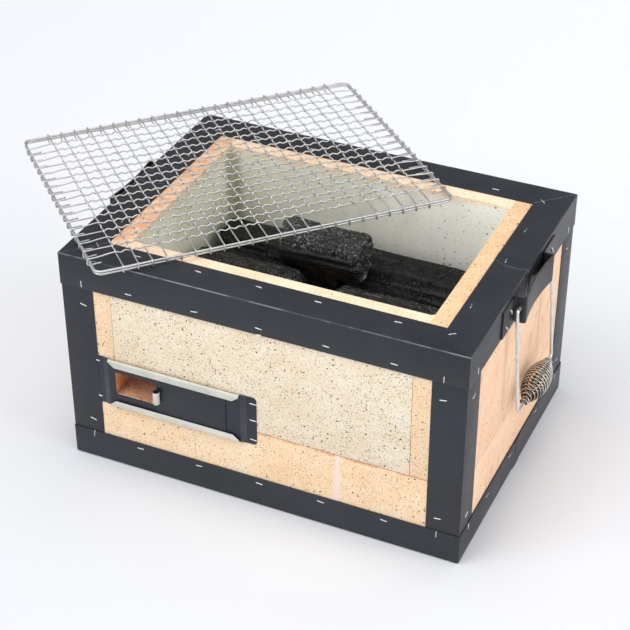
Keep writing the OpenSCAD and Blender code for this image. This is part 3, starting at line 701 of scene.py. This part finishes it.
def bend_lap(bm, upper):
    """Cuts the flange into short lengths and moves its free edge on to the lap's curved line."""
    for k in range(1, 9):
        for sign in (-1, 1):
            x = sign * (HALF_W - STRIP + STRIP * k / 9) * MM
            bmesh.ops.bisect_plane(bm, geom=bm.verts[:] + bm.edges[:] + bm.faces[:],
                                   plane_co=(x, 0, 0), plane_no=(1, 0, 0))
    for v in bm.verts:
        on_lap = abs(v.co.y - 0.0001) < 0.00015 and v.co.z > (TOP - 0.75) * MM
        if on_lap and abs(v.co.x) < (HALF_W - 0.7) * MM:
            shift = lap_line(v.co.x / MM) * MM
            v.co.y += shift if upper or shift > 0 else 0.0


for name in ("top_frame_front", "top_frame_back", "bottom_frame_front", "bottom_frame_back"):
    bm = copy_node(name)
    if name.startswith("top_frame"):
        bend_lap(bm, name.endswith("back"))
    for f in bm.faces:
        f.material_index = 1 if cut_face(f) else 0
    bevel_sharp(bm, 1.0, 3, pick=on_outline)
    bevel_sharp(bm, 0.22, 2, angle=50)
    finish_mesh(name + "_strip", bm, "grill", [PAINT, EDGE], 35, (name,))

for name in ("post_front_left", "post_front_right", "post_back_left", "post_back_right"):
    bm = copy_node(name)
    bevel_sharp(bm, 0.5, 3, angle=50)
    finish_mesh(name + "_strip", bm, "grill", [PAINT], 35, (name,))


# ---------------------------------------------------------------- vent

LIP_X = (-120.2, -13.8)
LIP_FOLD = 1.05

bm = copy_node("vent_rail")
lip_front = RAIL_LO[1]
mid_z = (RAIL_LO[2] + RAIL_HI[2]) / 2
half_h = (RAIL_HI[2] - RAIL_LO[2]) / 2
for f in bm.faces:
    c = f.calc_center_median() / MM
    away = abs(c[2] - mid_z)
    ramp = 0.2 < abs(f.normal.x) < 0.95 and f.normal.y < -0.2
    lip = f.normal.y < -0.9 and c[1] < lip_front + 0.1
    folded = away > half_h - 1.3 and LIP_X[0] < c[0] < LIP_X[1]
    from_fold = math.hypot(c[1] - lip_front - LIP_FOLD, away - half_h + LIP_FOLD)
    # painted light: the ramps take the lighter black
    if ramp:
        f.material_index = 2
    elif lip or (folded and from_fold > 0.75):
        f.material_index = 1
bevel_sharp(bm, 0.12, 2, angle=50)
finish_mesh("vent_rail_sheet", bm, "grill", [PAINT_VENT, REVERSE, PAINT_LIT_RAMP], 35,
            ("vent_rail",))

TAB_R = 2.5
tab_middle = Vector((SLIDE_LO[0] + TAB_R, SLIDE_LO[1] + TAB_R))
bm = copy_node("vent_slider")
for f in bm.faces:
    c = f.calc_center_median() / MM
    d = Vector((c[0], c[1])) - tab_middle
    rolled = c[0] < SLIDE_LO[0] + 2 * TAB_R + 0.1 and d.length > TAB_R - 0.3
    if f.normal.x > 0.9 and c[0] > SLIDE_HI[0] - 0.5:
        f.material_index = 2
    elif f.normal.y > 0.9 or (rolled and f.normal.x * d.x + f.normal.y * d.y > 0):
        f.material_index = 1
bevel_sharp(bm, 0.12, 2, angle=50)
finish_mesh("vent_slider_sheet", bm, "vent_door", [PAINT_VENT, REVERSE, STRAP_EDGE], 35,
            ("vent_slider",))


# ---------------------------------------------------------------- handles

def repaint(node, material):
    """Keeps a CAD node's shape and gives it a material of its own."""
    NODES[node].data.materials.clear()
    NODES[node].data.materials.append(material)


for side in ("right", "left"):
    bm = copy_node(side + "_bracket")
    for f in bm.faces:
        f.material_index = 1 if f.normal.z > 0.9 else 0
    bevel_sharp(bm, 0.25, 2, angle=50)
    finish_mesh(side + "_bracket_strap", bm, "grill", [PAINT_DARK, STRAP_EDGE], 35,
                (side + "_bracket",))
    repaint(side + "_bail", BAIL)


def coil_grip(side):
    """One wound spring with closed necks and a barrel-shaped middle."""
    lo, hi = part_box(side + "_grip")
    mid = (Vector(lo) + Vector(hi)) / 2
    half = (hi[1] - lo[1]) / 2
    wire = 0.76 * MM
    turns = 18
    neck = 2.6 * MM
    swell = (hi[0] - lo[0]) / 2 - wire
    pts = []
    steps = 28
    for i in range(turns * steps + 1):
        f = i / (turns * steps)
        a = 2 * math.pi * i / steps
        y = -half + wire + (2 * half - 2 * wire) * f
        barrel = (f - 0.10) / 0.82
        r = neck + (swell - neck) * math.sin(math.pi * barrel) ** 0.8 if 0 < barrel < 1 else neck
        pts.append(mid + Vector((math.cos(a) * r, y, math.sin(a) * r)))
    bm = bmesh.new()
    tube(bm, pts, wire, 12)
    bm.normal_update()
    # painted shade and reflection: faces turned in towards the axis get the dark brown metal
    for f in bm.faces:
        out = f.calc_center_median() - mid
        out.y = 0
        f.material_index = 1 if f.normal.dot(out.normalized()) < 0.45 else 0
    finish_mesh(side + "_coil", bm, side + "_coil", [SPRING, SPRING_SHADE], 180,
                (side + "_grip",))


coil_grip("right")
coil_grip("left")


# ---------------------------------------------------------------- staples

def loose_parts(node):
    """The vertices of each separate solid of a CAD node."""
    bm = bmesh.new()
    bm.from_mesh(NODES[node].data)
    bmesh.ops.remove_doubles(bm, verts=bm.verts, dist=2e-6)
    seen, parts = set(), []
    for v in bm.verts:
        if v in seen:
            continue
        stack, part = [v], []
        seen.add(v)
        while stack:
            w = stack.pop()
            part.append(w.co.copy())
            for e in w.link_edges:
                o = e.other_vert(w)
                if o not in seen:
                    seen.add(o)
                    stack.append(o)
        parts.append(part)
    bm.free()
    return parts


def staples(node, seed, wire=0.42 * MM, lift=0.0):
    """One bent wire for every staple of a CAD node."""
    rng = random.Random(seed)
    bm = bmesh.new()
    for part in loose_parts(node):
        lo = Vector([min(p[k] for p in part) for k in range(3)])
        hi = Vector([max(p[k] for p in part) for k in range(3)])
        dims = hi - lo
        axis = max(range(3), key=lambda k: dims[k])
        mid = (lo + hi) / 2
        sign = 1 if axis == 2 or mid[axis] > 0 else -1
        out = Vector([sign if k == axis else 0 for k in range(3)])
        face = max(p.dot(out) for p in part)
        crown = [p - out * p.dot(out) for p in part if p.dot(out) > face - 0.0009]
        centre = sum(crown, Vector()) / len(crown)
        far = max(crown, key=lambda p: (p - centre).length)
        along = (far - centre).normalized()
        along = Matrix.Rotation(math.radians(rng.uniform(-7, 7)), 3, out) @ along
        half = max((p - centre).dot(along) for p in crown) * rng.uniform(0.98, 1.06)
        beside_vent_ear = centre.x < -0.1275 and abs(centre.z - 0.075) < 0.03
        if beside_vent_ear:
            half *= 0.55
        top = face - wire + lift
        base = centre + along * rng.uniform(-0.25, 0.25) * MM
        sag = rng.uniform(0.02, 0.14) * MM
        near, far = base - along * half, base + along * half
        leg, shoulder = out * (top - 3 * MM), out * (top - 0.1 * MM)
        path = [near + leg, near + shoulder, base + out * (top - sag), far + shoulder, far + leg]
        tube(bm, smooth_path(path, 0.9 * MM, 4), wire, 8)
    finish_mesh(node + "_wire", bm, "grill", [STAPLE], 180, (node,))


for k, name in enumerate(("top_frame_staples", "bottom_frame_staples", "post_staples", "vent_staples")):
    staples(name, 11 + k)
staples("bracket_staples", 15, 0.55 * MM, 0.5 * MM)


# ---------------------------------------------------------------- charcoal

for name in ("rack_rails", "rack_bars"):
    repaint(name, RACK)


def log_outline(node):
    """The convex section of a CAD log as a centre and a radius for any angle."""
    pts = [v.co for v in NODES[node].data.vertices]
    lo = min(p.x for p in pts)
    ring = {(round(p.y, 6), round(p.z, 6)) for p in pts if p.x < lo + 1e-5}
    cy = sum(p[0] for p in ring) / len(ring)
    cz = sum(p[1] for p in ring) / len(ring)
    ring = sorted(ring, key=lambda p: math.atan2(p[1] - cz, p[0] - cy))
    sides = [(a[0] - cy, a[1] - cz, b[0] - cy, b[1] - cz) for a, b in zip(ring, ring[1:] + ring[:1])]

    def radius(a):
        c, s = math.cos(a), math.sin(a)
        best = 1.0
        for x0, y0, x1, y1 in sides:
            nx, ny = y1 - y0, x0 - x1
            d = nx * c + ny * s
            if d > 1e-12:
                best = min(best, (nx * x0 + ny * y0) / d)
        return best

    return cy, cz, radius


def bark_depth(x, y, z, off, rough):
    """How far the surface lies inside the CAD outline, in metres: ridges, furrows and chips."""
    broad = noise.noise(Vector((x * 16, y * 60, z * 60)) + off)
    ridge = noise.noise(Vector((x * 5, y * 125, z * 125)) + off * 3)
    furrow = noise.noise(Vector((x * 14, y * 330, z * 330)) + off)
    chip = noise.noise(Vector((x * 110, y * 150, z * 150)) + off * 2)
    grit = noise.noise(Vector((x * 480, y * 620, z * 620)) + off)
    depth = 0.0016 + 0.0011 * broad + 0.0030 * abs(ridge) + 0.0009 * furrow
    depth += rough * (0.0022 * max(0.0, chip - 0.22) + 0.00028 * grit)
    return max(0.0, depth)


def broken_end(bm, ring, end, cy, cz, off):
    """Closes a log with a rough fracture; end is -1 or 1."""
    prev = ring
    for step in range(1, 15):
        f = 1 - step / 15
        new = []
        for v in ring:
            q = Vector((v.co.x, cy + (v.co.y - cy) * f, cz + (v.co.z - cz) * f))
            dip = 0.0034 * noise.noise(Vector((q.y * 160, q.z * 160, end * 2.0)) + off)
            dip += 0.0018 * noise.noise(Vector((q.y * 620, q.z * 620, end * 3.0)) + off)
            q.x -= end * max(0.0, 0.0013 + dip)
            new.append(bm.verts.new(q))
        join_rings(bm, prev, new)
        prev = new
    bm.faces.new(prev)


def log_piece(node, seed, rough=1.0, fine=True, break_deep=0.004, look=(0.6, 0.6)):
    """A broken log along X inside its CAD node: flat split sides, furrows, broken ends."""
    lo, hi = (Vector(p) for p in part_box(node))
    cy, cz, radius = log_outline(node)
    sides = 150 if fine else 72
    length = hi.x - lo.x
    steps = int(length / (0.0008 if fine else 0.0016))
    off = Vector((seed * 3.1, seed * 1.7, seed * 0.9))
    rays = []
    for k in range(sides):
        a = 2 * math.pi * k / sides
        near = [radius(a + d * 0.045) for d in (-2, -1, 0, 1, 2)]
        rays.append((math.cos(a), math.sin(a), min(near[2], sum(near) / 5)))
    bm = bmesh.new()
    rings = []
    for i in range(steps + 1):
        f = i / steps
        x = lo.x + length * f
        inward = 1 if f < 0.5 else -1
        edge = min(f, 1 - f) * length
        round_off = 0.0022 * max(0.0, 1 - edge / 0.005) ** 2
        near_end = max(0.0, 1 - edge / 0.012)
        ring = []
        for c, s, r in rays:
            y, z = cy + c * r, cz + s * r
            r -= bark_depth(x, y, z, off, rough) + round_off
            snap = break_deep * noise.noise(Vector((y * 90, z * 90, 0.3 if f <= 0.5 else 5.3)) + off)
            snap = max(0.0, snap + 0.3 * break_deep) * near_end
            ring.append(bm.verts.new((x + inward * snap, cy + c * r, cz + s * r)))
        rings.append(ring)
    for a, b in zip(rings, rings[1:]):
        join_rings(bm, a, b)
    broken_end(bm, rings[0], -1, cy, cz, off)
    broken_end(bm, rings[-1], 1, cy, cz, off)
    bmesh.ops.recalc_face_normals(bm, faces=bm.faces)
    mat = charcoal("charcoal_%d" % seed, seed * 0.37, *look)
    finish_mesh(node + "_log", bm, "grill", [mat], 60, (node,))


# the top log's bright cells keep to its lit upper face: painted light
log_piece("charcoal_top", 3, 1.5, True, 0.004, (1.0, 0.25, 0.1455, 0.45))
# the back logs lie in shade and get little of the painted sheen
log_piece("charcoal_back_right", 4, look=(0.14, 0.34, 0.0, 0.22))
log_piece("charcoal_back_left", 5, look=(0.14, 0.34, 0.0, 0.22))
log_piece("charcoal_middle_right", 6, look=(0.5, 0.9))
log_piece("charcoal_middle_left", 7, look=(0.5, 0.7))
log_piece("charcoal_front_right", 8, fine=False)
log_piece("charcoal_front_left", 9, fine=False)


# ---------------------------------------------------------------- cooking net

# the net's middle, its turn and its two directions, u along it and v across it
NET_C = Vector((-92.1, 35.2))
NET_TURN = math.radians(46.35)
E1 = Vector((math.cos(NET_TURN), math.sin(NET_TURN)))
E2 = Vector((-math.sin(NET_TURN), math.cos(NET_TURN)))
FRAME_R = 0.9
NET_R = 0.56
RING_LOW = size_mm("net_frame")[0][2] + FRAME_R
RING_TOP = size_mm("net_frame")[1][2] - FRAME_R
TAIL_Z = size_mm("net_long_wires")[0][2] + 0.6
CRIMP = 0.60
MESH_Z = size_mm("net_cross_wires")[1][2] - CRIMP - NET_R - 0.03
OVER_Z = RING_TOP + FRAME_R + NET_R + 0.05
RING_U, RING_V = 136.0, 101.7
PITCH = 10.6
LONG_N, CROSS_N = 17, 23


def net_point(u, v, z):
    """A place on the net, in metres in the shared frame."""
    p = NET_C + E1 * u + E2 * v
    return Vector((p.x * MM, p.y * MM, z * MM))


def hook(start, z0, reach, tail, rng):
    """From the last crossing out over the frame, down round it and back underneath, as (s, z)."""
    pts = []
    gap = reach - start
    for k in range(1, 9):
        f = k / 8
        ease = f * f * (3 - 2 * f)
        pts.append((start + gap * f, z0 + (OVER_Z - z0) * min(1.0, ease * 1.25)))
    r = FRAME_R + NET_R + 0.04
    for k in range(1, 7):
        a = math.pi / 2 * (1 - k / 6)
        pts.append((reach + r * math.cos(a), OVER_Z - r + r * math.sin(a)))
    for k in range(0, 7):
        a = -math.pi / 2 * k / 6
        pts.append((reach + r * math.cos(a), TAIL_Z + r + r * math.sin(a)))
    length = tail + rng.uniform(-1.2, 0.4)
    for k in range(1, 6):
        pts.append((reach - length * k / 5, TAIL_Z + 0.12 * k / 5))
    return pts


def woven(index, count, reach, other_n, is_long, rng, tail):
    """One crimped wire: it weaves over and under, then hooks round the frame."""
    at = (index - (count - 1) / 2) * PITCH
    last = (other_n - 1) / 2 * PITCH
    side = 1 if (index % 2 == 0) == is_long else -1

    def height(s):
        return MESH_Z + side * CRIMP * math.cos(3 * math.pi * (s + last) / PITCH)

    n = int(round(2 * last / 0.55))
    places = [-last + 2 * last * i / n for i in range(n + 1)]
    body = [(s, height(s)) for s in places]
    right = hook(last, height(last), reach, tail, rng)
    left = [(-s, z) for s, z in hook(last, height(-last), reach, tail, rng)]
    drift = rng.uniform(-0.25, 0.25)
    lean = rng.uniform(-1.2, 1.2)
    twist = [rng.uniform(-1.0, 1.0) for _ in (0, 1)]
    out = []
    for s, z in list(reversed(left)) + body + right:
        w = drift * math.sin(s / reach * 1.4 + lean)
        if z < RING_LOW and abs(s) < reach:
            w += twist[s > 0] * (reach - abs(s)) / tail
        out.append(net_point(s, at + w, z) if is_long else net_point(at + w, s, z))
    return out


def frame_ring(bm, z, phase):
    """One closed wire of the frame with rounded corners and a slight waver."""
    r = 5.0
    corners = ((1, 1), (-1, 1), (-1, -1), (1, -1))
    pts = []
    for q, (sx, sy) in enumerate(corners):
        cx, cy = sx * (RING_U - r), sy * (RING_V - r)
        for k in range(9):
            a = math.radians(90 * q + 90 * k / 8)
            pts.append((cx + r * math.cos(a), cy + r * math.sin(a)))
        nx, ny = corners[(q + 1) % 4]
        a = math.radians(90 * (q + 1))
        end = (nx * (RING_U - r) + r * math.cos(a), ny * (RING_V - r) + r * math.sin(a))
        here = pts[-1]
        for k in range(1, 24):
            f = k / 24
            pts.append((here[0] + (end[0] - here[0]) * f, here[1] + (end[1] - here[1]) * f))
    ring = []
    for k, (u, v) in enumerate(pts):
        w = 0.08 * math.sin(k * 0.21 + phase)
        ring.append(net_point(u - math.copysign(w, u), v - math.copysign(w, v), z))
    tube(bm, ring, (FRAME_R - 0.12) * MM, 12, closed=True)


rng = random.Random(5)
bm = bmesh.new()
for i in range(LONG_N):
    tube(bm, woven(i, LONG_N, RING_U, CROSS_N, True, rng, 9.0), NET_R * MM, 8)
finish_mesh("net_long_weave", bm, "cooking_net", [WIRE], 180, ("net_long_wires",))
bm = bmesh.new()
for i in range(CROSS_N):
    tube(bm, woven(i, CROSS_N, RING_V, LONG_N, False, rng, 4.5), NET_R * MM, 8)
finish_mesh("net_cross_weave", bm, "cooking_net", [WIRE], 180, ("net_cross_wires",))
bm = bmesh.new()
frame_ring(bm, RING_LOW, 0.0)
frame_ring(bm, RING_TOP, 1.7)
finish_mesh("net_frame_wire", bm, "cooking_net", [WIRE], 180, ("net_frame",))


# ---------------------------------------------------------------- floor, light and camera

def floor_material():
    """A pale sheet with painted light: darker and bluer towards the front as painted shade, lighter towards
    the back.
    """
    t = Tree("studio_floor")
    # painted shade in front of the grill and painted light behind it, as a gradient along y
    far = t.add(t.axis(1), t.mul(t.noise(3, 2), 0.02))
    col = t.mix(t.range(far, -0.75, 1.3, smooth=False), (0.665, 0.68, 0.71), (0.94, 0.945, 0.96))
    return t.finish(col, 0.75, Specular_IOR_Level=0.2)


bm = bmesh.new()
bmesh.ops.create_grid(bm, x_segments=2, y_segments=2, size=8.0)
me = bpy.data.meshes.new("floor")
bm.to_mesh(me)
bm.free()
floor = bpy.data.objects.new("floor", me)
floor.data.materials.append(floor_material())
floor.location = (0, 0, -0.0004)
bpy.context.scene.collection.objects.link(floor)


def studio_world():
    """Even light from the front that falls off towards the back."""
    world = bpy.data.worlds.new("studio")
    world.use_nodes = True
    tree = world.node_tree
    back = tree.nodes["Background"]
    back.inputs[1].default_value = 0.70
    where = tree.nodes.new("ShaderNodeSeparateXYZ")
    tree.links.new(tree.nodes.new("ShaderNodeTexCoord").outputs["Generated"], where.inputs[0])
    fade = tree.nodes.new("ShaderNodeMapRange")
    fade.interpolation_type = "SMOOTHSTEP"
    tree.links.new(where.outputs["Y"], fade.inputs[0])
    fade.inputs[1].default_value = 0.1
    fade.inputs[2].default_value = 0.7
    shade = tree.nodes.new("ShaderNodeMix")
    shade.data_type = "RGBA"
    tree.links.new(fade.outputs[0], shade.inputs[0])
    shade.inputs[6].default_value = (0.95, 0.98, 1.06, 1.0)
    shade.inputs[7].default_value = (0.42, 0.42, 0.43, 1.0)
    tree.links.new(shade.outputs[2], back.inputs[0])
    bpy.context.scene.world = world


def softbox(name, loc, target, size, power, color):
    """A rectangular area light that faces its target."""
    data = bpy.data.lights.new(name, "AREA")
    data.shape = "RECTANGLE"
    data.size, data.size_y = size
    data.energy = power
    data.color = color
    ob = bpy.data.objects.new(name, data)
    ob.location = loc
    ob.rotation_euler = (Vector(target) - Vector(loc)).to_track_quat("-Z", "Y").to_euler()
    bpy.context.scene.collection.objects.link(ob)
    return ob


studio_world()
WARM = (1.0, 0.985, 0.955)
MIDDLE = (0, 0, 0.1)
softbox("key", (-0.9, -1.3, 1.7), MIDDLE, (1.3, 1.3), 15, WARM)
softbox("fill_right", (1.9, -0.1, 1.0), MIDDLE, (1.4, 1.6), 16, WARM)
softbox("top", (-0.1, -0.4, 2.1), MIDDLE, (1.6, 1.4), 15, WARM)
backdrop = softbox("backdrop", (0.4, 2.0, 2.4), (0.2, 1.2, 0), (2.0, 2.0), 14, (1.0, 0.99, 0.97))
backdrop.visible_glossy = False

cam_data = bpy.data.cameras.new("camera")
cam_data.lens = 98.58
cam_data.sensor_width = 36
cam_data.clip_end = 50
cam = bpy.data.objects.new("camera", cam_data)
forward = Vector((-0.3421, 0.7528, -0.5624)).normalized()
cam.location = (0.4372, -0.9787, 0.8259)
cam.rotation_euler = forward.to_track_quat("-Z", "Y").to_euler()
bpy.context.scene.collection.objects.link(cam)
bpy.context.scene.camera = cam
bpy.context.scene.view_settings.view_transform = "Standard"
